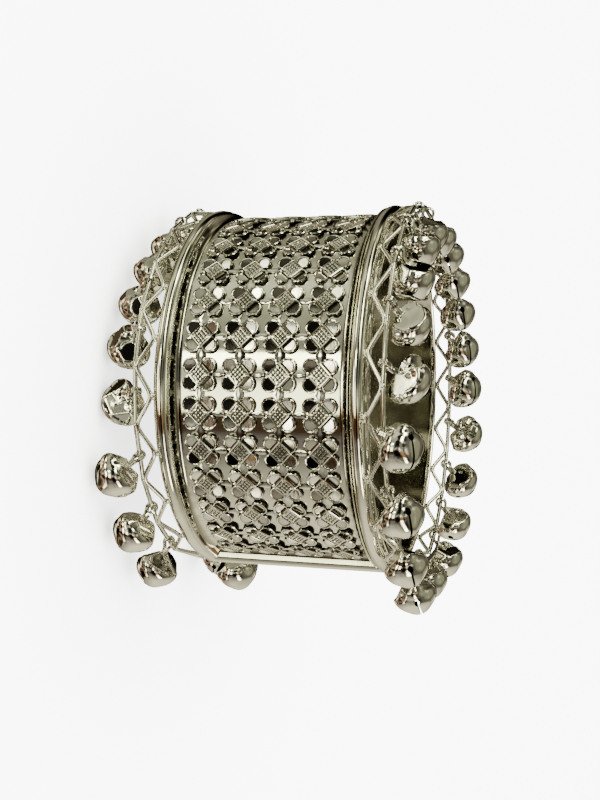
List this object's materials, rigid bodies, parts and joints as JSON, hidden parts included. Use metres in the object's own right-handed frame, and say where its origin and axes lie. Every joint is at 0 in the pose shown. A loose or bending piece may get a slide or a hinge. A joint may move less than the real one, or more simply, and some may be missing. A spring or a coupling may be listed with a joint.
{
  "type": "bell bangle",
  "caption": "Wide open cuff bangle of polished white metal with a stamped flower lattice, rolled rims, zigzag wire galleries and rows of small jingle bells.",
  "frame": {"origin": "centre of the wrist hollow, on the cuff's axis and midway across its width", "axes": "+Z along the cuff's axis, up as the cuff lies on its lower row of bells, +X through the middle of the gap between the two end bars, +Y to the left of the gap seen from outside"},
  "size_m": [0.0735, 0.0769, 0.0555],
  "materials": {
    "cuff_metal": "mirror polished nickel plate",
    "strip_metal": "polished stamped relief, fine grid on the diamonds",
    "wire_metal": "polished plated wire with solder drops",
    "bell_metal": "mirror polished plated sheet"
  },
  "bodies": {
    "root": {"cuff_body": "cuff_metal", "flower_strip": "strip_metal", "lower_gallery": "wire_metal", "upper_gallery": "wire_metal", "lower_bell_1": "bell_metal", "lower_bell_2": "bell_metal", "lower_bell_3": "bell_metal", "lower_bell_4": "bell_metal", "lower_bell_5": "bell_metal", "lower_bell_6": "bell_metal", "lower_bell_7": "bell_metal", "lower_bell_8": "bell_metal", "lower_bell_9": "bell_metal", "lower_bell_10": "bell_metal", "lower_bell_11": "bell_metal", "lower_bell_12": "bell_metal", "lower_bell_13": "bell_metal", "lower_bell_14": "bell_metal", "lower_bell_15": "bell_metal", "lower_bell_16": "bell_metal", "lower_bell_17": "bell_metal", "lower_bell_18": "bell_metal", "lower_bell_19": "bell_metal", "upper_bell_1": "bell_metal", "upper_bell_2": "bell_metal", "upper_bell_3": "bell_metal", "upper_bell_4": "bell_metal", "upper_bell_5": "bell_metal", "upper_bell_6": "bell_metal", "upper_bell_7": "bell_metal", "upper_bell_8": "bell_metal", "upper_bell_9": "bell_metal", "upper_bell_10": "bell_metal", "upper_bell_11": "bell_metal", "upper_bell_12": "bell_metal", "upper_bell_13": "bell_metal", "upper_bell_14": "bell_metal", "upper_bell_15": "bell_metal", "upper_bell_16": "bell_metal", "upper_bell_17": "bell_metal", "upper_bell_18": "bell_metal", "upper_bell_19": "bell_metal", "lower_corner_bell": "bell_metal", "upper_corner_bell": "bell_metal"}
  },
  "joints": []
}
